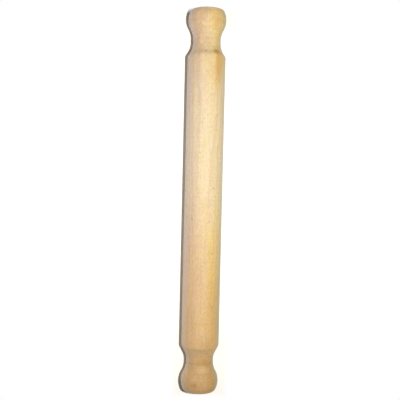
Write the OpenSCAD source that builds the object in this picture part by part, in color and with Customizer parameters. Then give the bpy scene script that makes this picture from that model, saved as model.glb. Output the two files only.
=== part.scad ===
// Rolling pin of one solid piece of beech, turned between centres on a lathe.
// The pin lies along X with the middle of its barrel at the origin, and Z points up.
// Both handles are the same profile, cut at the two ends of the one blank. Sizes are in millimetres.

/* [Pin] */
// Overall length from one flat end to the other
pin_length = 400; // [300:1:560]

/* [Barrel] */
// Diameter of the barrel that rolls the dough
barrel_d = 40; // [36:0.5:60]
// Radius of the eased edge where the barrel turns into a shoulder
barrel_edge_r = 1.8; // [0.5:0.1:5]

/* [Shoulder] */
// Radius of the hollow shoulder that falls from the barrel to the neck
shoulder_r = 22; // [10:0.5:40]

/* [Neck] */
// Diameter of the neck along its short straight land
neck_d = 28.8; // [24:0.1:34]
// Length of the straight land, from the hollow shoulder to the cove
neck_land = 2; // [0.5:0.5:20]
// Radius of the hollow cove that swells from the land into the knob
cove_r = 23; // [10:0.5:40]

/* [Knob] */
// How much thinner the knob is than the barrel, so that a guide ring slides over it
knob_relief = 0.2; // [0:0.05:1.5]
// Distance from the centre of the ball knob to the flat end
knob_to_end = 9.8; // [5:0.1:15]
// Radius of the eased edge round the flat end
end_edge_r = 1.2; // [0.3:0.1:4]

/* [Hidden] */
$fn = 180;

// Arcs are drawn this much too large, so that they cross the lines and arcs that they run into
crossing = 0.002;

barrel_r = barrel_d / 2;
neck_r = neck_d / 2;
knob_r = (barrel_d - knob_relief) / 2;

// Places along the axis, measured outwards from the middle of the barrel
pin_end = pin_length / 2;
knob_middle = pin_end - knob_to_end;
// The cove and the ball meet without a step when their centres lie the sum of their radii apart
cove_start = knob_middle - sqrt(pow(cove_r + knob_r, 2) - pow(cove_r + neck_r, 2));
shoulder_foot = cove_start - neck_land;
// So do the hollow shoulder and the eased edge of the barrel
barrel_end = shoulder_foot - sqrt(
    pow(shoulder_r + barrel_edge_r, 2) - pow(shoulder_r + neck_r - barrel_r + barrel_edge_r, 2)
);

// Centres of the arcs in the profile, as [radius, place along the axis]
barrel_edge_centre = [barrel_r - barrel_edge_r, barrel_end];
shoulder_centre = [neck_r + shoulder_r, shoulder_foot];
cove_centre = [neck_r + cove_r, cove_start];
knob_centre = [0, knob_middle];
end_edge_centre = [
    sqrt(pow(knob_r - end_edge_r, 2) - pow(knob_to_end - end_edge_r, 2)),
    pin_end - end_edge_r
];

// Where the ball's arc hands over to the eased edge of the flat end
ball_end = knob_middle + (knob_to_end - end_edge_r) * knob_r / (knob_r - end_edge_r);

// Straight barrel and its eased edge
module barrel_profile() {
    square([barrel_r, barrel_end]);
    translate(barrel_edge_centre) circle(r = barrel_edge_r);
}

// Hollow shoulder and the first half of the land, below the line between the centres of the arcs
module shoulder_profile() {
    difference() {
        polygon([
            [0, barrel_end],
            barrel_edge_centre,
            shoulder_centre,
            [neck_r, shoulder_foot],
            [neck_r, shoulder_foot + neck_land / 2],
            [0, shoulder_foot + neck_land / 2]
        ]);
        translate(shoulder_centre) circle(r = shoulder_r + crossing);
    }
}

// The rest of the land and the cove, which the ball takes over on the line between their centres
module cove_profile() {
    difference() {
        polygon([
            [0, shoulder_foot + neck_land / 2],
            [neck_r, shoulder_foot + neck_land / 2],
            [neck_r, cove_start],
            cove_centre,
            knob_centre
        ]);
        translate(cove_centre) circle(r = cove_r + crossing);
    }
}

// Ball knob with its flat end and the eased edge between the two
module knob_profile() {
    intersection() {
        translate(knob_centre) circle(r = knob_r);
        translate([0, knob_middle - knob_r]) square([knob_r, ball_end - knob_middle + knob_r]);
    }
    translate(knob_centre) square([end_edge_centre[0], knob_to_end]);
    translate(end_edge_centre) circle(r = end_edge_r + crossing);
}

// Half of the pin's half section, kept inside the round blank that it is cut from
module handle_half_profile() {
    intersection() {
        union() {
            barrel_profile();
            shoulder_profile();
            cove_profile();
            knob_profile();
        }
        square([barrel_r, pin_end]);
    }
}

module rolling_pin() {
    color("burlywood")
        rotate([0, 90, 0])
            rotate_extrude()
                for (side = [0, 1])
                    mirror([0, side]) handle_half_profile();
}

rolling_pin();
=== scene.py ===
"""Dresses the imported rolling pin: steamed beech, turned between centres, sanded and oiled.

The pin lies along X with the middle of its barrel at the origin, and Z points up. Sizes are written
in millimetres, and are turned to metres where a mesh, a lamp or the camera takes them.
"""

import logging
import math
from dataclasses import dataclass
from enum import Enum

import bmesh
import bpy
from mathutils import Matrix, Vector, noise

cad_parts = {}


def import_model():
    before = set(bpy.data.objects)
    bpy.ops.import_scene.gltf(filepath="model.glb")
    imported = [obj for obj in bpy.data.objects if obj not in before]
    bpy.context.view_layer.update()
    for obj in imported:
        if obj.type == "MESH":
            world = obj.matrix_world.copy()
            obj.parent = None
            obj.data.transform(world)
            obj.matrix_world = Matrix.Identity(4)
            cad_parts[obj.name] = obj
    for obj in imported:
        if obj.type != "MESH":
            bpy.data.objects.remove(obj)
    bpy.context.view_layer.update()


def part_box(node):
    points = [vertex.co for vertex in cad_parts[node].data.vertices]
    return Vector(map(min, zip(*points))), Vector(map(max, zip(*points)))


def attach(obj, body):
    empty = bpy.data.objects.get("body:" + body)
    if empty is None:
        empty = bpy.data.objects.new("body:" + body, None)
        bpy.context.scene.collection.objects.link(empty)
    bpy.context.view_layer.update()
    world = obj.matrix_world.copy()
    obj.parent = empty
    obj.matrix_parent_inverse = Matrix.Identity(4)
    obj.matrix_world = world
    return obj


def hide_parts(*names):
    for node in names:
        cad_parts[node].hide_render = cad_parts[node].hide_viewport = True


MM = 0.001
CAD_NODE = "rolling_pin"
# What Blender's noise textures, which run from 0 to 1, come to on average
NOISE_MIDDLE = 0.5
log = logging.getLogger("rolling_pin")


def linear(hex_colour: str) -> tuple[float, float, float, float]:
    """Turns an sRGB hex colour into the linear colour that a shader takes.

    Args:
        hex_colour: The colour, such as "#E8C794".

    Returns:
        Red, green, blue and an alpha of 1.
    """
    channels = [int(hex_colour[start : start + 2], 16) / 255 for start in (1, 3, 5)]
    red, green, blue = (
        c / 12.92 if c <= 0.04045 else ((c + 0.055) / 1.055) ** 2.4 for c in channels
    )
    return red, green, blue, 1.0


def put_in_scene(
    name: str, shape: bmesh.types.BMesh, material: bpy.types.Material
) -> bpy.types.Object:
    """Makes an object of a finished bmesh and puts it in the scene.

    Args:
        name: The name of the object and its mesh.
        shape: The bmesh, in metres. It is freed.
        material: What the object is made of.

    Returns:
        The object.
    """
    mesh = bpy.data.meshes.new(name)
    shape.to_mesh(mesh)
    shape.free()
    mesh.materials.append(material)
    made = bpy.data.objects.new(name, mesh)
    bpy.context.scene.collection.objects.link(made)
    return made


class Cut(Enum):
    """How the lathe left a stretch: width and depth of its tool waves, in millimetres."""

    END_FACE = (1.6, 0.03)
    HANDLE = (2.4, 0.02)
    BARREL = (5.0, 0.012)

    @property
    def wave(self) -> float:
        """Width of one tool wave."""
        return self.value[0]

    @property
    def depth(self) -> float:
        """Depth of the tool waves."""
        return self.value[1]


@dataclass
class TurnedOutline:
    """Half of the pin's outline, drawn from the pole of one end to the middle of the barrel.

    Attributes:
        mesh: The bmesh that takes the outline as a chain of edges in the XZ plane.
        side: Which half it is: 1 towards +X and -1 towards -X.
        tip: The last point drawn.
    """

    mesh: bmesh.types.BMesh
    side: int
    tip: bmesh.types.BMVert

    @classmethod
    def from_pole(cls, mesh: bmesh.types.BMesh, side: int, along: float) -> "TurnedOutline":
        """Starts an outline at the place on the axis that is `along` from the middle."""
        made = bmesh.ops.create_vert(mesh, co=(side * along, 0, 0))
        return cls(mesh, side, made["vert"][0])

    def line_to(self, along: float, radius: float, pieces: int) -> None:
        """Draws a straight stretch.

        Args:
            along: How far from the middle it ends, along the axis.
            radius: Its radius there.
            pieces: How many edges it is cut into.
        """
        step = (Vector((self.side * along, 0, radius)) - self.tip.co) / pieces
        for _ in range(pieces):
            made = bmesh.ops.extrude_vert_indiv(self.mesh, verts=[self.tip])
            self.tip = made["verts"][0]
            bmesh.ops.translate(self.mesh, verts=[self.tip], vec=step)

    def arc_to(self, along: float, radius: float, centre: Vector, pieces: int) -> None:
        """Draws an arc.

        Args:
            along: How far from the middle it ends, along the axis.
            radius: The pin's radius there.
            centre: The arc's own centre, on the side of +X.
            pieces: How many edges it is cut into.
        """
        centre = Vector((self.side * centre.x, 0, centre.z))
        start, end = self.tip.co - centre, Vector((self.side * along, 0, radius)) - centre
        angle = math.atan2(start.cross(end).y, start.dot(end))
        made = bmesh.ops.spin(
            self.mesh,
            geom=[self.tip],
            cent=centre,
            axis=(0, 1, 0),
            angle=angle,
            steps=pieces,
            use_duplicate=False,
        )
        self.tip = made["geom_last"][0]


@dataclass(frozen=True)
class Shoulder:
    """How one shoulder falls from the barrel to the neck.

    Attributes:
        ease: Radius of the rounded edge of the barrel, in millimetres.
        slope: The shoulder's steepest slope, as an angle to the axis.
        hollow: Radius of the hollow at its foot, in millimetres.
    """

    ease: float
    slope: float
    hollow: float


@dataclass
class RollingPin:
    """The pin: a straight barrel with two handles, each a shoulder, neck, cove and ball knob.

    The barrel's radius and the pin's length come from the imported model. The photographed pin was
    finished by hand, and its left shoulder is gentler than its right one. Sizes are in millimetres.

    Attributes:
        barrel_radius: Radius of the straight barrel.
        pin_end: From the middle of the barrel to either flat end.
        right_shoulder: The shoulder towards +X.
        left_shoulder: The shoulder towards -X.
        neck_radius: Radius of the neck.
        neck_land: Length of the straight part of the neck.
        cove_radius: Radius of the hollow between the neck and the knob.
        knob_radius: Radius of the ball.
        knob_to_end: From the ball's centre to the flat end.
        end_edge_radius: Radius of the rounded edge of the flat end.
        centre_mark_radius: Radius of the mark that the lathe's centre left in each end.
        centre_mark_depth: Depth of that mark.
        facets: How many faces go round the pin.
        merge_distance: Points that lie closer together than this become one.
        sharp_angle: Where the surface turns by more than this, it is shaded with a sharp edge.
        noise_shift: How far from the middle each half reads its noise, so that the two differ.
        wave_drift: Steps of noise by which the tool waves change in a millimetre of radius.
        sanding_scale: Steps of noise by which the sanding's depth changes in a millimetre.
        sanding_shift: Where the noise of the sanding is read, across the pin.
    """

    barrel_radius: float
    pin_end: float
    right_shoulder: Shoulder = Shoulder(ease=5.5, slope=math.radians(36), hollow=22.0)
    left_shoulder: Shoulder = Shoulder(ease=6.0, slope=math.radians(26), hollow=16.5)
    neck_radius: float = 14.4
    neck_land: float = 2.0
    cove_radius: float = 23.0
    knob_radius: float = 19.9
    knob_to_end: float = 9.8
    end_edge_radius: float = 1.2
    centre_mark_radius: float = 1.5
    centre_mark_depth: float = 1.1
    facets: int = 192
    merge_distance: float = 0.0005
    sharp_angle: float = math.radians(20)
    noise_shift: float = 40.0
    wave_drift: float = 0.02
    sanding_scale: float = 0.09
    sanding_shift: tuple[float, float] = (7.0, 3.0)

    @classmethod
    def from_frame(cls) -> "RollingPin":
        """Reads the pin's length and its barrel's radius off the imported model."""
        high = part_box(CAD_NODE)[1]
        return cls(barrel_radius=round(high.z / MM, 1), pin_end=high.x / MM)

    @property
    def knob(self) -> Vector:
        """The ball's centre."""
        return Vector((self.pin_end - self.knob_to_end, 0, 0))

    @property
    def cove(self) -> Vector:
        """The centre of the cove's arc, which runs into the ball without a step."""
        out = self.neck_radius + self.cove_radius
        along = self.knob.x - math.sqrt((self.cove_radius + self.knob_radius) ** 2 - out**2)
        return Vector((along, 0, out))

    @property
    def end_edge(self) -> Vector:
        """The centre of the arc that rounds the flat end, and runs into the ball without a step."""
        reach = self.knob_radius - self.end_edge_radius
        out = math.sqrt(reach**2 - (self.knob_to_end - self.end_edge_radius) ** 2)
        return Vector((self.pin_end - self.end_edge_radius, 0, out))

    def hollow(self, shoulder: Shoulder) -> Vector:
        """Finds the centre of the arc at a shoulder's foot."""
        return Vector((self.cove.x - self.neck_land, 0, self.neck_radius + shoulder.hollow))

    def barrel_edge(self, shoulder: Shoulder) -> Vector:
        """Finds the centre of the arc that rounds the barrel's edge.

        Args:
            shoulder: The shoulder that the arc runs into without a step.

        Returns:
            The centre, which lies where the straight barrel ends.
        """
        arcs = shoulder.ease + shoulder.hollow
        drop = self.barrel_radius - self.neck_radius
        straight = (drop - arcs * (1 - math.cos(shoulder.slope))) / math.tan(shoulder.slope)
        along = self.hollow(shoulder).x - arcs * math.sin(shoulder.slope) - straight
        return Vector((along, 0, self.barrel_radius - shoulder.ease))

    def draw_half(self, mesh: bmesh.types.BMesh, side: int, shoulder: Shoulder) -> None:
        """Draws half of the outline, from the pole of one end to the middle of the barrel.

        Args:
            mesh: The bmesh that takes it, in millimetres.
            side: Which half it is: 1 towards +X and -1 towards -X.
            shoulder: The shoulder on that side.
        """
        knob, cove, end_edge = self.knob, self.cove, self.end_edge
        hollow, ease = self.hollow(shoulder), self.barrel_edge(shoulder)
        knob_end = knob + (end_edge - knob).normalized() * self.knob_radius
        cove_end = knob + (cove - knob).normalized() * self.knob_radius
        outwards = Vector((math.sin(shoulder.slope), 0, math.cos(shoulder.slope)))
        slope_foot = hollow - outwards * shoulder.hollow
        slope_top = ease + outwards * shoulder.ease

        half = TurnedOutline.from_pole(mesh, side, self.pin_end - self.centre_mark_depth)
        half.line_to(self.pin_end, self.centre_mark_radius, pieces=3)
        half.line_to(self.pin_end, end_edge.z, pieces=14)
        half.arc_to(knob_end.x, knob_end.z, end_edge, pieces=7)
        half.arc_to(cove_end.x, cove_end.z, knob, pieces=42)
        half.arc_to(cove.x, self.neck_radius, cove, pieces=26)
        half.line_to(hollow.x, self.neck_radius, pieces=4)
        half.arc_to(slope_foot.x, slope_foot.z, hollow, pieces=24)
        half.line_to(slope_top.x, slope_top.z, pieces=8)
        half.arc_to(ease.x, self.barrel_radius, ease, pieces=12)
        half.line_to(0, self.barrel_radius, pieces=100)

    def outline(self) -> bmesh.types.BMesh:
        """Draws the whole outline, from pole to pole.

        Returns:
            A bmesh with the outline as a chain of edges, in millimetres.
        """
        mesh = bmesh.new()
        self.draw_half(mesh, 1, self.right_shoulder)
        self.draw_half(mesh, -1, self.left_shoulder)
        bmesh.ops.remove_doubles(mesh, verts=mesh.verts, dist=self.merge_distance)
        return mesh

    def cut_at(self, along: float) -> Cut:
        """Tells which cut the surface has at a place along the axis.

        Args:
            along: The place, in millimetres from the middle of the barrel.

        Returns:
            The cut.
        """
        distance = abs(along)
        if distance > self.pin_end - self.end_edge_radius / 2:
            return Cut.END_FACE
        if distance > self.barrel_edge(self.right_shoulder).x:
            return Cut.HANDLE
        return Cut.BARREL

    def tool_wave(self, point: Vector) -> float:
        """Works out how deep the tool and the sanding cut below the true outline at a point.

        Args:
            point: A point of the true surface, in millimetres.

        Returns:
            A depth in millimetres, always inwards.
        """
        radius = math.hypot(point.y, point.z)
        cut = self.cut_at(point.x)
        path = abs(point.x) - radius
        half = math.copysign(self.noise_shift, point.x)
        wave = noise.noise(Vector((path / cut.wave, half, self.wave_drift * radius)))
        sanding = noise.noise(point * self.sanding_scale + Vector((half, *self.sanding_shift)))
        return cut.depth * (1 + wave) / 2 + cut.depth * (1 + sanding) / 2

    def turn(self) -> bmesh.types.BMesh:
        """Turns the outline into the whole pin, with its tool waves.

        Returns:
            A closed bmesh in metres, with its faces pointing outwards.
        """
        pin = self.outline()
        bmesh.ops.spin(
            pin,
            geom=[*pin.verts, *pin.edges],
            cent=(0, 0, 0),
            axis=(1, 0, 0),
            angle=math.tau,
            steps=self.facets,
            use_merge=True,
            use_duplicate=False,
        )
        bmesh.ops.remove_doubles(pin, verts=pin.verts, dist=self.merge_distance)
        bmesh.ops.recalc_face_normals(pin, faces=pin.faces)
        for face in pin.faces:
            face.smooth = True
        for edge in pin.edges:
            edge.smooth = edge.calc_face_angle(0) < self.sharp_angle
        pin.normal_update()
        for vertex in pin.verts:
            vertex.co -= vertex.normal * self.tool_wave(vertex.co)
        bmesh.ops.scale(pin, vec=(MM, MM, MM), verts=pin.verts)
        return pin

    def build(self) -> None:
        """Makes the pin's object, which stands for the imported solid."""
        piece = put_in_scene("beech_pin", self.turn(), SteamedBeech(pin=self).material())
        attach(piece, "root")
        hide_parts(CAD_NODE)
        faces = len(piece.data.polygons)
        log.info("%s: %d faces, %.1f mm long", piece.name, faces, 2 * self.pin_end)


@dataclass
class NodeBench:
    """Where the nodes of one material or of the world are put together.

    Attributes:
        tree: The tree that takes them.
    """

    tree: bpy.types.NodeTree

    def add(self, kind: str, feeds: dict | None = None, **settings: object) -> bpy.types.Node:
        """Adds one node with its settings and links.

        Args:
            kind: The node's type, without the words ShaderNode at its start.
            feeds: What goes into its sockets, by the socket's name or its number among those in
                use. A node stands for its first output in use.
            settings: The node's own settings.

        Returns:
            The new node.
        """
        node = self.tree.nodes.new(f"ShaderNode{kind}")
        for name, value in settings.items():
            setattr(node, name, value)
        usable = [socket for socket in node.inputs if socket.enabled]
        named = {socket.name: socket for socket in reversed(usable)}
        for key, value in (feeds or {}).items():
            socket = usable[key] if isinstance(key, int) else named[key]
            if isinstance(value, bpy.types.Node):
                value = next(output for output in value.outputs if output.enabled)
            if isinstance(value, bpy.types.NodeSocket):
                self.tree.links.new(value, socket)
            else:
                socket.default_value = value
        return node

    def seen_rays(self) -> bpy.types.Node:
        """Picks out the rays that show what they hit: the camera's, and those in gloss or glass.

        Returns:
            A node that is 1 for those rays and 0 for the others.
        """
        rays = self.add("LightPath").outputs
        indirect = {0: rays["Is Glossy Ray"], 1: rays["Is Transmission Ray"]}
        shown = self.add("Math", indirect, operation="MAXIMUM")
        return self.add("Math", {0: rays["Is Camera Ray"], 1: shown}, operation="MAXIMUM")


def empty_tree(owner: bpy.types.Material | bpy.types.World) -> bpy.types.NodeTree:
    """Gives a material or a world a tree with no nodes in it.

    Args:
        owner: The material or the world.

    Returns:
        The empty tree.
    """
    owner.use_nodes = True
    owner.node_tree.nodes.clear()
    return owner.node_tree


@dataclass(frozen=True)
class Streaks:
    """Noise that is drawn out along the grain.

    Attributes:
        length: Length of a streak, in millimetres.
        width: Width of a streak, in millimetres.
        detail: How many finer layers lie in it.
    """

    length: float
    width: float
    detail: float


@dataclass(frozen=True)
class Rays:
    """One size of the ray flecks of beech: thin sheets of cells that run out from the pith.

    Attributes:
        spacing: Millimetres between rays: along the grain, out from the pith and round it.
        reach: Half of a ray's size, as a share of the spacing.
        share: How many of the places hold a ray.
        strength: How much of the fleck's colour shows.
    """

    spacing: tuple[float, float, float]
    reach: float
    share: float
    strength: float


@dataclass(frozen=True)
class Tone:
    """A tone laid over the wood along a stretch of the pin.

    Attributes:
        middle: The middle of the stretch, along the axis, in millimetres.
        full: How far from there it is at its strongest, in millimetres.
        gone: How far from there it has faded out, in millimetres.
        uneven: How far its edge wanders along the grain, in millimetres.
        colour: Its colour.
        strength: How much of that colour shows at its strongest.
    """

    middle: float
    full: float
    gone: float
    uneven: float
    colour: str
    strength: float


@dataclass(frozen=True)
class Stain:
    """A darker mark in the wood.

    Attributes:
        centre: Its middle, in millimetres.
        size: Its half sizes along X, Y and Z, in millimetres.
        colour: Its colour.
        strength: How much of that colour shows at its middle.
    """

    centre: tuple[float, float, float]
    size: tuple[float, float, float]
    colour: str
    strength: float


@dataclass(frozen=True)
class SteamedBeech:
    """Steamed beech, copy-turned, sanded fine and rubbed with oil.

    Steaming gives beech its even straw to rose colour. The grain is fine and faint, with short
    brown ray flecks, and the turned necks cut through the rings in ovals. Along its right side the
    wood is more yellow. On its outermost flanks, painted shade makes it greyer on the right and
    painted light makes it paler on the left. A painted highlight pales the middle of the barrel,
    and the left half and the left handle are darker and browner. The oil has sunk in and left the
    surface almost matte.
    """

    pin: RollingPin
    straw: str = "#EED5A3"
    rose: str = "#D9B49A"
    # Laid over the wood as a filter, more on its right side
    honey: str = "#FCF2D2"
    # A place counts from 0 on the right side to 1 on the left, and long patches add up to this
    side_patches: Streaks = Streaks(130.0, 13.0, 2.0)
    side_patch_weight: float = 1.2
    # The counts from which the rose and the honey start to show, and at which they show in full
    rose_sides: tuple[float, float] = (0.87, 1.56)
    honey_sides: tuple[float, float] = (1.15, 0.75)
    # The colours that the flanks run into: painted shade, greyer, on the right, and painted light,
    # paler, on the left. Then where both begin as a share of the half width, and how much of the
    # painted shade on the right shows
    left_flank_painted_light: str = "#FDEBD3"
    right_flank_painted_shade: str = "#B4B992"
    flank_start: float = 0.6
    right_painted_shade_strength: float = 0.4
    # How much of the painted light on the left shows on the darker left handle and on the barrel,
    # and between which places along the pin it changes
    left_painted_light_strengths: tuple[float, float] = (0.36, 0.52)
    left_painted_light_places: tuple[float, float] = (-150.0, -120.0)
    # Laid over the surfaces that face along the grain. It begins where the normal's part along X
    # is the first number, and shows in full where it is the second
    end_grain: str = "#CDAC80"
    end_facing: tuple[float, float] = (0.52, 0.9)
    # Oil-filled wood reflects like most clear finishes, and its sanded fibres leave it almost matte
    ior: float = 1.5
    roughness: float = 0.7
    pore_roughness: float = 0.1
    # The fine nap of the raised fibres, which pales the wood where it is seen from the side
    nap: float = 0.33
    nap_colour: str = "#D2E6FF"
    # The log's pith runs under the pin, a little askew, so the rings surface on top as long arcs
    pith_place: tuple[float, float, float] = (0.0, 6.0, -62.0)
    pith_turn: tuple[float, float, float] = (0.0, math.radians(0.9), math.radians(0.5))
    ring_width: float = 2.6
    ring_drift: Streaks = Streaks(60.0, 9.0, 1.0)
    # Shares of a ring's width, from its start, where the late wood starts and where it is darkest
    late_wood_start: float = 0.3
    late_wood_full: float = 0.88
    late_wood: str = "#C99A66"
    late_wood_strength: float = 0.16
    late_wood_height: float = -0.006
    # Slow waves in the rings, as long and as wide as in a straight-grained log
    wave_length: float = 85.0
    wave_width: float = 26.0
    wave_depth: float = 5.0
    # Real fibres are 0.02 mm wide, and these are drawn as coarse as they need to show. A contrast
    # is how far a pattern changes the shade in all, and a height is its relief in millimetres
    fibres: Streaks = Streaks(14.0, 1.3, 2.0)
    fibre_contrast: float = 0.24
    fibre_height: float = 0.012
    pores: Streaks = Streaks(2.6, 1.1, 1.0)
    pore_contrast: float = 0.36
    pore_height: float = 0.02
    sanding_pitch: float = 1.2
    sanding_contrast: float = 0.04
    sanding_height: float = 0.01
    # The lathe's bands show less on the barrel than on the handles, and change over this length
    band_pitch: float = 3.2
    band_contrasts: tuple[float, float] = (0.03, 0.16)
    band_change: float = 10.0
    # Slight patches of pink and yellow, and how far they shift the red, green and blue
    patches: Streaks = Streaks(8.0, 4.0, 2.0)
    patch_shift: tuple[float, float, float] = (0.2, 0.12, 0.4)
    fleck: str = "#9C6B3E"
    fleck_height: float = -0.015
    rays: tuple[Rays, ...] = (
        Rays(spacing=(4.0, 14.0, 2.2), reach=0.3, share=0.6, strength=0.14),
        Rays(spacing=(11.0, 24.0, 6.5), reach=0.17, share=0.4, strength=0.3),
    )
    # Darker and browner over the left half of the barrel and the handle, and a painted highlight
    # that pales the middle of the barrel
    darker_left_end: tuple[Tone, ...] = (
        Tone(-200.0, 60.0, 190.0, 50.0, "#D9B07C", 0.7),
        Tone(-200.0, 31.0, 40.0, 4.0, "#C39E6C", 0.85),
    )
    painted_highlight: Tone = Tone(62.0, 20.0, 125.0, 40.0, "#EEDEC4", 0.58)
    # The streaks in which the edges of these tones wander
    tone_edge: Streaks = Streaks(40.0, 9.0, 2.0)
    # A long stain over the right shoulder with a dark spot in it, and two on the right knob. Then
    # the left end's: one at the barrel's edge, and one each on the neck, the cove and the knob
    stains: tuple[Stain, ...] = (
        Stain((146.0, -12.5, 15.0), (38.0, 7.0, 8.0), "#DCAC60", 0.85),
        Stain((156.0, -10.0, 15.0), (3.5, 6.0, 6.0), "#BE8A40", 0.85),
        Stain((186.0, -10.0, 16.0), (9.0, 7.0, 8.0), "#DBB070", 0.6),
        Stain((193.0, 1.0, 19.0), (6.0, 9.0, 5.0), "#DAB486", 0.5),
        Stain((-150.5, -5.0, 19.0), (13.0, 20.0, 9.0), "#C09A68", 0.5),
        Stain((-167.0, -3.0, 14.0), (4.5, 10.0, 5.0), "#B88748", 0.55),
        Stain((-175.0, -5.0, 15.5), (5.0, 11.0, 7.0), "#DDB488", 0.7),
        Stain((-190.5, 5.0, 18.5), (4.0, 5.5, 4.0), "#B5803F", 0.75),
    )
    # A stain's edge wanders by up to this share of its size. With that added to the distance from
    # its middle, it begins at the first share and shows in full at the second
    stain_edge: Streaks = Streaks(24.0, 3.0, 2.0)
    stain_uneven: float = 0.8
    stain_reach: tuple[float, float] = (1.45, 0.5)

    def material(self) -> bpy.types.Material:
        """Makes the material of this wood.

        Returns:
            The material, which reads its patterns in the pin's own coordinates.
        """
        material = bpy.data.materials.new("steamed_beech_turned_and_oiled")
        BeechNodes(empty_tree(material), self).finish_off()
        log.info("%s: %d nodes", material.name, len(material.node_tree.nodes))
        return material


@dataclass
class BeechNodes(NodeBench):
    """The beech's nodes, which read every pattern from the pin's own place in the log.

    Attributes:
        beech: The wood that they show.
    """

    beech: SteamedBeech

    def __post_init__(self) -> None:
        """Sets up the places that the patterns are read from, in millimetres."""
        beech = self.beech
        in_metres = self.add("TexCoord").outputs["Object"]
        self.place = self.add("VectorMath", {0: in_metres, "Scale": 1 / MM}, operation="SCALE")
        self.axes = self.add("SeparateXYZ", {0: self.place}).outputs
        from_axis = self.add("VectorMath", {0: self.place, 1: (0, 1, 1)}, operation="MULTIPLY")
        self.radius = self.add("VectorMath", {0: from_axis}, operation="LENGTH")
        self.distance = self.add("Math", {0: self.axes[0]}, operation="ABSOLUTE")

        # The log's own frame, with the pith as its X axis, and the slow waves of its rings
        in_log = self.add(
            "Mapping",
            {"Vector": self.place, "Location": beech.pith_place, "Rotation": beech.pith_turn},
            vector_type="TEXTURE",
        )
        stretch = (1 / beech.wave_length, 1 / beech.wave_width, 1 / beech.wave_width)
        slow = self.add("VectorMath", {0: in_log, 1: stretch}, operation="MULTIPLY")
        waves = self.add(
            "TexNoise", {"Vector": slow, "Scale": 1.0, "Detail": 2.0, "Roughness": 0.45}
        )
        depth = (0, beech.wave_depth, beech.wave_depth)
        waved = {0: waves.outputs["Color"], 1: depth, 2: in_log}
        self.in_log = self.add("VectorMath", waved, operation="MULTIPLY_ADD")
        log_axes = self.add("SeparateXYZ", {0: self.in_log}).outputs
        from_pith = self.add("VectorMath", {0: self.in_log, 1: (0, 1, 1)}, operation="MULTIPLY")
        self.pith_distance = self.add("VectorMath", {0: from_pith}, operation="LENGTH")
        turn = self.add("Math", {0: log_axes[1], 1: log_axes[2]}, operation="ARCTAN2")
        around = self.add("Math", {0: turn, 1: abs(beech.pith_place[2])}, operation="MULTIPLY")
        in_rays = {0: log_axes[0], 1: self.pith_distance, 2: around}
        self.ray_place = self.add("CombineXYZ", in_rays)

    def streaks(self, streaks: Streaks) -> bpy.types.Node:
        """Makes noise that is drawn out along the grain.

        Args:
            streaks: How long, wide and detailed it is.

        Returns:
            The noise's node, from 0 to 1.
        """
        scale = (1 / streaks.length, 1 / streaks.width, 1 / streaks.width)
        place = self.add("VectorMath", {0: self.in_log, 1: scale}, operation="MULTIPLY")
        return self.add(
            "TexNoise",
            {"Vector": place, "Scale": 1.0, "Detail": streaks.detail, "Roughness": 0.55},
        )

    def rings(self) -> bpy.types.Node:
        """Makes the growth rings: each darkens slowly to its late wood, and ends sharply.

        Returns:
            The pattern's node, from 0 to 1 in the late wood.
        """
        beech = self.beech
        drift = self.streaks(beech.ring_drift)
        drifted = {0: self.pith_distance, 1: 1 / beech.ring_width, 2: drift}
        count = self.add("Math", drifted, operation="MULTIPLY_ADD")
        within = self.add("Math", {0: count}, operation="FRACT")
        darkens = {"From Min": beech.late_wood_start, "From Max": beech.late_wood_full}
        rise = self.add("MapRange", {"Value": within, **darkens}, interpolation_type="SMOOTHSTEP")
        ends = {"From Min": 1.0, "From Max": beech.late_wood_full}
        fall = self.add("MapRange", {"Value": within, **ends})
        return self.add("Math", {0: rise, 1: fall}, operation="MULTIPLY")

    def ray_flecks(self, rays: Rays) -> bpy.types.Node:
        """Makes one size of ray flecks, from 0 between them to 1 on them.

        Args:
            rays: The size and number of the flecks.

        Returns:
            The mask's node.
        """
        scale = tuple(1 / spacing for spacing in rays.spacing)
        cells = self.add("VectorMath", {0: self.ray_place, 1: scale}, operation="MULTIPLY")
        found = self.add("TexVoronoi", {"Vector": cells, "Scale": 1.0, "Randomness": 1.0}).outputs
        inside = {"Value": found["Distance"], "From Min": rays.reach, "From Max": rays.reach / 2}
        near = self.add("MapRange", inside, interpolation_type="SMOOTHSTEP")
        chance = self.add("SeparateXYZ", {0: found["Color"]}).outputs[0]
        chosen = self.add("Math", {0: chance, 1: rays.share}, operation="LESS_THAN")
        return self.add("Math", {0: near, 1: chosen}, operation="MULTIPLY")

    def turning_lines(self, pitch: float, detail: float) -> bpy.types.Node:
        """Makes lines round the pin, as the tool and the sanding leave them.

        Args:
            pitch: Width of a line, in millimetres.
            detail: How many finer layers lie in it.

        Returns:
            The noise's node, from 0 to 1.
        """
        path = self.add("Math", {0: self.axes[0], 1: self.radius}, operation="SUBTRACT")
        lines = {"W": path, "Scale": 1 / pitch, "Detail": detail}
        return self.add("TexNoise", lines, noise_dimensions="1D")

    def stain(self, stain: Stain) -> bpy.types.Node:
        """Makes the mask of one stain, with an uneven edge.

        Args:
            stain: Its place, size and strength.

        Returns:
            The mask's node, from 0 to the stain's strength.
        """
        beech = self.beech
        from_centre = self.add("VectorMath", {0: self.place, 1: stain.centre}, operation="SUBTRACT")
        scaled = self.add("VectorMath", {0: from_centre, 1: stain.size}, operation="DIVIDE")
        away = self.add("VectorMath", {0: scaled}, operation="LENGTH")
        wander = {0: self.streaks(beech.stain_edge), 1: beech.stain_uneven, 2: away}
        uneven = self.add("Math", wander, operation="MULTIPLY_ADD")
        start, full = beech.stain_reach
        shown = {"Value": uneven, "From Min": start, "From Max": full, "To Max": stain.strength}
        return self.add("MapRange", shown, interpolation_type="SMOOTHSTEP")

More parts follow.
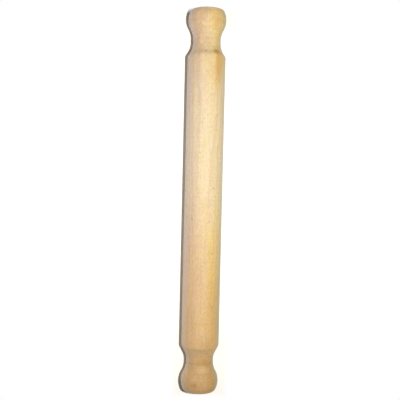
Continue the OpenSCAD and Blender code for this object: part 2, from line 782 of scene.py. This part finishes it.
    def tone(self, tone: Tone) -> bpy.types.Node:
        """Makes the mask of one tone, which fades along the axis.

        Args:
            tone: Its place, reach and strength.

        Returns:
            The mask's node, from 0 to the tone's strength.
        """
        from_middle = self.add("Math", {0: self.axes[0], 1: tone.middle}, operation="SUBTRACT")
        away = self.add("Math", {0: from_middle}, operation="ABSOLUTE")
        edge = {0: self.streaks(self.beech.tone_edge), 1: NOISE_MIDDLE}
        wander = self.add("Math", edge, operation="SUBTRACT")
        reached = self.add("Math", {0: wander, 1: tone.uneven, 2: away}, operation="MULTIPLY_ADD")
        fade = {"From Min": tone.gone, "From Max": tone.full, "To Max": tone.strength}
        return self.add("MapRange", {"Value": reached, **fade}, interpolation_type="SMOOTHSTEP")

    def end_mask(self) -> bpy.types.Node:
        """Finds surfaces that face along the grain, which drink more oil.

        Returns:
            The mask's node, from 0 to 1.
        """
        normal = self.add("TexCoord").outputs["Normal"]
        facing = self.add("SeparateXYZ", {0: normal}).outputs[0]
        square_on = self.add("Math", {0: facing}, operation="ABSOLUTE")
        start, full = self.beech.end_facing
        shown = {"Value": square_on, "From Min": start, "From Max": full}
        return self.add("MapRange", shown, interpolation_type="SMOOTHSTEP")

    def tinted(
        self, colour: bpy.types.Node, tint: str, mask: object, blend: str = "MIX"
    ) -> bpy.types.Node:
        """Lays a tint over a colour where a mask shows it.

        Args:
            colour: The colour so far.
            tint: The tint, as an sRGB hex colour.
            mask: How much of it shows, as a node, a socket or a number.
            blend: How the two are put together.

        Returns:
            The new colour's node.
        """
        feeds = {"Factor": mask, "A": colour, "B": linear(tint)}
        return self.add("Mix", feeds, data_type="RGBA", blend_type=blend)

    def aged_wood(self) -> bpy.types.Node:
        """Makes the wood's broad colours: its two sides, its tones, the painted highlight in the
        middle of the barrel, and the painted light and shade on its flanks.

        Returns:
            The colour's node.
        """
        beech = self.beech
        # From -1 on the right side to 1 on the left, but with no sectors on the end faces
        widths = {0: self.radius, 1: beech.pin.neck_radius}
        half_width = self.add("Math", widths, operation="MAXIMUM")
        flank = self.add("Math", {0: self.axes[1], 1: half_width}, operation="DIVIDE")
        drift = self.add("MapRange", {"Value": flank, "From Min": -1.0, "From Max": 1.0})
        patched = {0: self.streaks(beech.side_patches), 1: beech.side_patch_weight, 2: drift}
        side = self.add("Math", patched, operation="MULTIPLY_ADD")
        to_rose, to_honey = (
            self.add(
                "MapRange",
                {"Value": side, "From Min": start, "From Max": full},
                interpolation_type="SMOOTHSTEP",
            )
            for start, full in (beech.rose_sides, beech.honey_sides)
        )
        wood = {"Factor": to_rose, "A": linear(beech.straw), "B": linear(beech.rose)}
        colour = self.add("Mix", wood, data_type="RGBA")
        for tone in beech.darker_left_end:
            colour = self.tinted(colour, tone.colour, self.tone(tone))
        colour = self.tinted(colour, beech.honey, to_honey, "MULTIPLY")
        # Painted shade: towards the right flank the wood runs into a greyer colour
        right = {"From Min": -beech.flank_start, "From Max": -1.0}
        shown = {"Value": flank, **right, "To Max": beech.right_painted_shade_strength}
        painted_shade_right = self.add("MapRange", shown, interpolation_type="SMOOTHSTEP")
        colour = self.tinted(colour, beech.right_flank_painted_shade, painted_shade_right)
        # Painted highlight: the middle of the barrel is made paler
        colour = self.tinted(colour, beech.painted_highlight.colour, self.tone(beech.painted_highlight))
        # Painted light: towards the left flank the wood runs into a paler colour, less on the left
        # handle
        start, end = beech.left_painted_light_places
        on_handle, on_barrel = beech.left_painted_light_strengths
        along = {"From Min": start, "From Max": end, "To Min": on_handle, "To Max": on_barrel}
        strength = self.add("MapRange", {"Value": self.axes[0], **along})
        left = {"From Min": beech.flank_start, "From Max": 1.0, "To Max": strength}
        painted_light_left = self.add("MapRange", {"Value": flank, **left}, interpolation_type="SMOOTHSTEP")
        return self.tinted(colour, beech.left_flank_painted_light, painted_light_left)

    def mottle(self) -> bpy.types.Node:
        """Makes the slight patches of pink and yellow.

        Returns:
            The node of a factor for each channel, about 1.
        """
        patch = self.streaks(self.beech.patches).outputs["Color"]
        shift = self.beech.patch_shift
        even = tuple(1 - channel / 2 for channel in shift)
        return self.add("VectorMath", {0: patch, 1: shift, 2: even}, operation="MULTIPLY_ADD")

    def bands(self) -> bpy.types.Node:
        """Makes the lathe's bands, which show most on the handles, as these get less sanding.

        Returns:
            The factor's node, about 1.
        """
        beech = self.beech
        handle = beech.pin.barrel_edge(beech.pin.left_shoulder).x
        on_barrel, on_handles = beech.band_contrasts
        along = {"From Min": handle, "From Max": handle + beech.band_change}
        shown = {"To Min": on_barrel, "To Max": on_handles}
        contrast = self.add("MapRange", {"Value": self.distance, **along, **shown})
        lines = self.turning_lines(beech.band_pitch, detail=1.0)
        from_even = self.add("Math", {0: lines, 1: NOISE_MIDDLE}, operation="SUBTRACT")
        return self.add("Math", {0: from_even, 1: contrast, 2: 1.0}, operation="MULTIPLY_ADD")

    def finish_off(self) -> None:
        """Puts the colour, the gloss and the fine relief together on the shader."""
        beech = self.beech
        rings = self.rings()
        fibres, pores = self.streaks(beech.fibres), self.streaks(beech.pores)
        sanding = self.turning_lines(beech.sanding_pitch, detail=2.0)

        colour = self.aged_wood()
        show = self.add("Math", {0: rings, 1: beech.late_wood_strength}, operation="MULTIPLY")
        colour = self.tinted(colour, beech.late_wood, show)
        relief = self.add("Math", {0: rings, 1: beech.late_wood_height}, operation="MULTIPLY")
        for rays in beech.rays:
            flecks = self.ray_flecks(rays)
            show = self.add("Math", {0: flecks, 1: rays.strength}, operation="MULTIPLY")
            colour = self.tinted(colour, beech.fleck, show)
            sunk = {0: flecks, 1: beech.fleck_height, 2: relief}
            relief = self.add("Math", sunk, operation="MULTIPLY_ADD")
        for stain in beech.stains:
            colour = self.tinted(colour, stain.colour, self.stain(stain))
        colour = self.tinted(colour, beech.end_grain, self.end_mask(), "MULTIPLY")
        colour = self.add("VectorMath", {0: colour, 1: self.mottle()}, operation="MULTIPLY")

        shades = []
        for pattern, contrast, height in (
            (fibres, beech.fibre_contrast, beech.fibre_height),
            (pores, beech.pore_contrast, beech.pore_height),
            (sanding, beech.sanding_contrast, beech.sanding_height),
        ):
            about_one = {0: pattern, 1: contrast, 2: 1 - contrast / 2}
            shades.append(self.add("Math", about_one, operation="MULTIPLY_ADD"))
            raised = {0: pattern, 1: height, 2: relief}
            relief = self.add("Math", raised, operation="MULTIPLY_ADD")
        shades.append(self.bands())
        shade = shades[0]
        for other in shades[1:]:
            shade = self.add("Math", {0: shade, 1: other}, operation="MULTIPLY")
        colour = self.add("VectorMath", {0: colour, "Scale": shade}, operation="SCALE")

        bump = self.add("Bump", {"Height": relief, "Strength": 0.8, "Distance": MM})
        smoothest = beech.roughness - beech.pore_roughness / 2
        rougher = {0: pores, 1: beech.pore_roughness, 2: smoothest}
        rough = self.add("Math", rougher, operation="MULTIPLY_ADD")
        surface = {"Base Color": colour, "Roughness": rough, "Normal": bump, "IOR": beech.ior}
        nap = {"Sheen Weight": beech.nap, "Sheen Tint": linear(beech.nap_colour)}
        shader = self.add("BsdfPrincipled", {**surface, **nap, "Sheen Roughness": 0.5})
        self.add("OutputMaterial", {"Surface": shader})


@dataclass(frozen=True)
class PhotoCamera:
    """A camera at the photograph's place, almost straight above the pin. Lengths in millimetres.

    Attributes:
        distance: From the camera to the place it looks at.
        lean: How far it stands towards the right end of the pin, as an angle.
        target: The place it looks at, along the pin.
        roll: How far the pin's axis leans from upright in the picture.
        focal_px: Its focal length, in pixels of the picture.
        frame_px: Width of the picture, in pixels.
        aside_px: How far the pin's axis passes to the right of the picture's middle, in pixels.
        sensor: Width of its sensor.
    """

    distance: float = 620.0
    lean: float = math.radians(2.5)
    target: float = 2.5
    roll: float = math.radians(1.33)
    focal_px: float = 585.6
    frame_px: float = 400.0
    aside_px: float = 3.25
    sensor: float = 36.0

    def build(self) -> None:
        """Makes the camera and hands it to the scene."""
        aside = self.aside_px * self.distance / self.focal_px
        back = Vector((math.sin(self.lean), 0, math.cos(self.lean)))
        up = Vector((math.cos(self.lean), 0, -math.sin(self.lean)))
        right = up.cross(back)
        turn = Matrix((right, up, back)).transposed() @ Matrix.Rotation(self.roll, 3, "Z")
        data = bpy.data.cameras.new("photo_camera")
        data.sensor_width = self.sensor
        data.lens = self.sensor * self.focal_px / self.frame_px
        camera = bpy.data.objects.new("photo_camera", data)
        eye = Vector((self.target, aside, 0)) + back * self.distance
        camera.matrix_world = Matrix.Translation(eye * MM) @ turn.to_4x4()
        bpy.context.scene.collection.objects.link(camera)
        bpy.context.scene.camera = camera
        log.info("%s: %.1f mm lens", camera.name, data.lens)


@dataclass(frozen=True)
class Lamp:
    """A round soft lamp.

    Attributes:
        name: What it is called.
        place: Where it hangs, in millimetres.
        width: Its diameter, in millimetres.
        level: How bright a white surface that faces it at the pin looks, where 1 is white.
        colour: The colour of its light.
    """

    name: str
    place: tuple[float, float, float]
    width: float
    level: float
    colour: str

    def build(self) -> None:
        """Makes the lamp, turned towards the middle of the pin."""
        reach = Vector(self.place) * MM
        data = bpy.data.lights.new(self.name, "AREA")
        data.shape = "DISK"
        data.size = self.width * MM
        data.energy = self.level * (math.pi * reach.length) ** 2
        data.color = linear(self.colour)[:3]
        lamp = bpy.data.objects.new(self.name, data)
        lamp.location = reach
        lamp.rotation_euler = reach.to_track_quat("Z", "Y").to_euler()
        lamp.visible_camera = False
        bpy.context.scene.collection.objects.link(lamp)
        log.info("%s: level %.2f", self.name, self.level)


@dataclass(frozen=True)
class Studio:
    """A white table under one soft lamp close to the camera, in a pale room.

    Attributes:
        floor_height: Height of the table's top, in millimetres.
        floor_width: Width of the table, in millimetres.
        floor_colour: What the table is to the rays that only carry its light to other things.
        seen_gain: How pale it is to all others. Above 1, the lit table is white with a shadow.
        shadow_reach: From this far beside the pin, in millimetres, the table fades to plain
            white, which it is at three times as far.
        shadow_past_end: How far past the pin's ends that is measured from, in millimetres.
        shadow_middle: The shadow's middle along the pin, in millimetres: a little to the left.
        fill_level: How bright the room is by itself, where 1 is white.
        fill_colour: The colour of the room's light.
        lamps: The lamps.
    """

    floor_height: float
    floor_width: float = 3000.0
    floor_colour: str = "#EDEDED"
    seen_gain: float = 1.195
    shadow_reach: float = 4.0
    shadow_past_end: float = 2.0
    shadow_middle: float = -4.0
    fill_level: float = 0.09
    fill_colour: str = "#FFF2E2"
    lamps: tuple[Lamp, ...] = (
        Lamp("key_lamp", (30.0, -74.0, 615.0), 14.0, 1.0, "#FCFAF0"),
        Lamp("side_lamp", (20.0, 560.0, 60.0), 120.0, 0.13, "#F0F3FF"),
    )

    def beside_pin(self, bench: NodeBench) -> bpy.types.Node:
        """Makes a node that tells how far a place on the table lies from the pin's outline.

        Args:
            bench: The table's material.

        Returns:
            The distance beside the pin or past its end, whichever is greater, in metres.
        """
        place = bench.add("TexCoord").outputs["Object"]
        axes = bench.add("SeparateXYZ", {0: place}).outputs
        pin_end, barrel_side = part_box(CAD_NODE)[1].xy
        shadow_end = pin_end + self.shadow_past_end * MM
        across = bench.add("Math", {0: axes[1]}, operation="ABSOLUTE")
        beside = bench.add("Math", {0: across, 1: barrel_side}, operation="SUBTRACT")
        middle = self.shadow_middle * MM
        from_middle = bench.add("Math", {0: axes[0], 1: middle}, operation="SUBTRACT")
        along = bench.add("Math", {0: from_middle}, operation="ABSOLUTE")
        beyond = bench.add("Math", {0: along, 1: shadow_end}, operation="SUBTRACT")
        return bench.add("Math", {0: beside, 1: beyond}, operation="MAXIMUM")

    def floor_material(self) -> bpy.types.Material:
        """Makes the table's white paint, which is seen as white and keeps the pin's shadow.

        Returns:
            The material.
        """
        material = bpy.data.materials.new("white_table_paint")
        bench = NodeBench(empty_tree(material))
        reach = self.shadow_reach * MM
        beyond = {"Value": self.beside_pin(bench), "From Min": reach, "From Max": 3 * reach}
        fade = bench.add("MapRange", beyond, interpolation_type="SMOOTHSTEP")
        plain = bench.add("BsdfDiffuse", {"Color": linear(self.floor_colour)})
        gain = self.seen_gain
        seen = bench.add("BsdfDiffuse", {"Color": (gain, gain, gain, 1.0)})
        white = bench.add("Emission", {"Strength": 1.0})
        shown = bench.add("MixShader", {0: fade, 1: seen, 2: white})
        from_above = bench.add("MixShader", {0: bench.seen_rays(), 1: plain, 2: shown})
        # From below the table is clear, so that the underside of the pin can be looked at
        below = bench.add("NewGeometry").outputs["Backfacing"]
        clear = bench.add("BsdfTransparent")
        surface = bench.add("MixShader", {0: below, 1: from_above, 2: clear})
        bench.add("OutputMaterial", {"Surface": surface})
        return material

    def floor(self) -> None:
        """Makes the table's top."""
        grid = bmesh.new()
        bmesh.ops.create_grid(grid, x_segments=1, y_segments=1, size=self.floor_width * MM / 2)
        bmesh.ops.translate(grid, verts=grid.verts, vec=(0, 0, self.floor_height * MM))
        table = put_in_scene("table_top", grid, self.floor_material())

    def world(self) -> None:
        """Makes the room: white where it is seen, and a weak even light elsewhere."""
        world = bpy.data.worlds.new("white_room")
        bench = NodeBench(empty_tree(world))
        light = {"Color": linear(self.fill_colour), "Strength": self.fill_level}
        fill = bench.add("Background", light)
        white = bench.add("Background", {"Color": (1.0, 1.0, 1.0, 1.0), "Strength": 1.0})
        shown = bench.add("MixShader", {0: bench.seen_rays(), 1: fill, 2: white})
        bench.add("OutputWorld", {"Surface": shown})
        bpy.context.scene.world = world

    def build(self) -> None:
        """Sets the table, the room and the lamps, and keeps colours as they are written."""
        bpy.context.scene.view_settings.view_transform = "Standard"
        self.floor()
        self.world()
        for lamp in self.lamps:
            lamp.build()
        log.info("studio: table at %.1f mm, %d lamps", self.floor_height, len(self.lamps))


def main() -> None:
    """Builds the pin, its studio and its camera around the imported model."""
    logging.basicConfig(level=logging.INFO, format="%(name)s: %(message)s")
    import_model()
    pin = RollingPin.from_frame()
    PhotoCamera().build()
    Studio(floor_height=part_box(CAD_NODE)[0].z / MM).build()
    pin.build()


if __name__ == "__main__":
    main()
